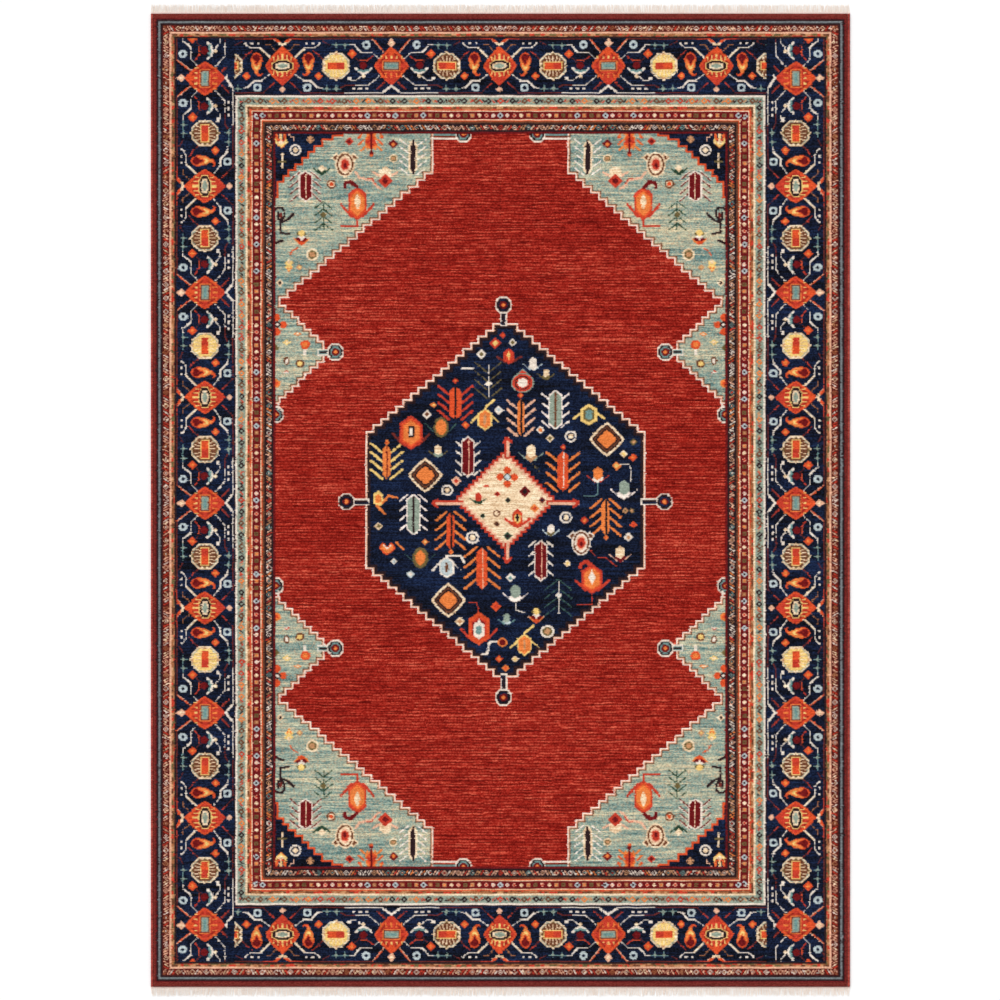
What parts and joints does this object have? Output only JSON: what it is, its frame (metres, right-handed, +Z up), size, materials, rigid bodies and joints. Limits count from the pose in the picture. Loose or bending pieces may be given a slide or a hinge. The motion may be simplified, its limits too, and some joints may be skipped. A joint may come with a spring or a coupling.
{
  "type": "area rug",
  "caption": "Flat pile rug with serged sides, flat-woven ends, a short fringe, a patterned border and a centre medallion.",
  "frame": {"origin": "middle of the underside, on the floor", "axes": "+X across the rug, +Y along it towards the head end, +Z up out of the pile"},
  "size_m": [2.387, 3.3886, 0.011],
  "materials": {
    "pile_bead_guard": "cut wool pile, red with beads",
    "pile_blue_guard": "cut wool pile, pale blue hatching",
    "pile_spandrel": "cut wool pile, light blue with colour bands",
    "pile_corner": "cut wool pile, navy",
    "end_web_cotton": "flat-woven cotton strip",
    "pile_field": "cut wool pile, striated brick red",
    "fringe_cotton": "loose cotton warp ends, cream",
    "ground_cotton": "plain-woven cotton and jute ground, matt",
    "pile_main_border": "cut wool pile, navy with palmettes",
    "pile_centre": "cut wool pile, cream",
    "pile_medallion": "cut wool pile, navy with small trees",
    "pile_navy_guard": "cut wool pile, navy with small blossoms",
    "pile_outer_guard": "cut wool pile, hatched tan on dark red",
    "pile_plain_band": "cut wool pile, dark madder red",
    "selvedge_cotton": "bunched cotton warps",
    "serging_wool": "overcast wool yarn, rust red"
  },
  "bodies": {
    "root": {"bead_guard_foot": "pile_bead_guard", "bead_guard_head": "pile_bead_guard", "bead_guard_left": "pile_bead_guard", "bead_guard_right": "pile_bead_guard", "blue_guard_foot": "pile_blue_guard", "blue_guard_head": "pile_blue_guard", "blue_guard_left": "pile_blue_guard", "blue_guard_right": "pile_blue_guard", "corner_spandrel_foot_left": "pile_spandrel", "corner_spandrel_foot_right": "pile_spandrel", "corner_spandrel_head_left": "pile_spandrel", "corner_spandrel_head_right": "pile_spandrel", "corner_triangle_foot_left": "pile_corner", "corner_triangle_foot_right": "pile_corner", "corner_triangle_head_left": "pile_corner", "corner_triangle_head_right": "pile_corner", "end_web_foot": "end_web_cotton", "end_web_head": "end_web_cotton", "field_foot_left": "pile_field", "field_foot_right": "pile_field", "field_head_left": "pile_field", "field_head_right": "pile_field", "fringe_foot": "fringe_cotton", "fringe_head": "fringe_cotton", "ground_weave": "ground_cotton", "main_border_foot": "pile_main_border", "main_border_head": "pile_main_border", "main_border_left": "pile_main_border", "main_border_right": "pile_main_border", "medallion_centre": "pile_centre", "medallion_foot": "pile_medallion", "medallion_head": "pile_medallion", "navy_guard_foot": "pile_navy_guard", "navy_guard_head": "pile_navy_guard", "navy_guard_left": "pile_navy_guard", "navy_guard_right": "pile_navy_guard", "outer_guard_foot": "pile_outer_guard", "outer_guard_head": "pile_outer_guard", "outer_guard_left": "pile_outer_guard", "outer_guard_right": "pile_outer_guard", "plain_band_foot": "pile_plain_band", "plain_band_head": "pile_plain_band", "plain_band_left": "pile_plain_band", "plain_band_right": "pile_plain_band", "selvedge_cord_left": "selvedge_cotton", "selvedge_cord_right": "selvedge_cotton", "side_serging_left": "serging_wool", "side_serging_right": "serging_wool", "side_spandrel_foot_left": "pile_spandrel", "side_spandrel_foot_right": "pile_spandrel", "side_spandrel_head_left": "pile_spandrel", "side_spandrel_head_right": "pile_spandrel"}
  },
  "joints": []
}
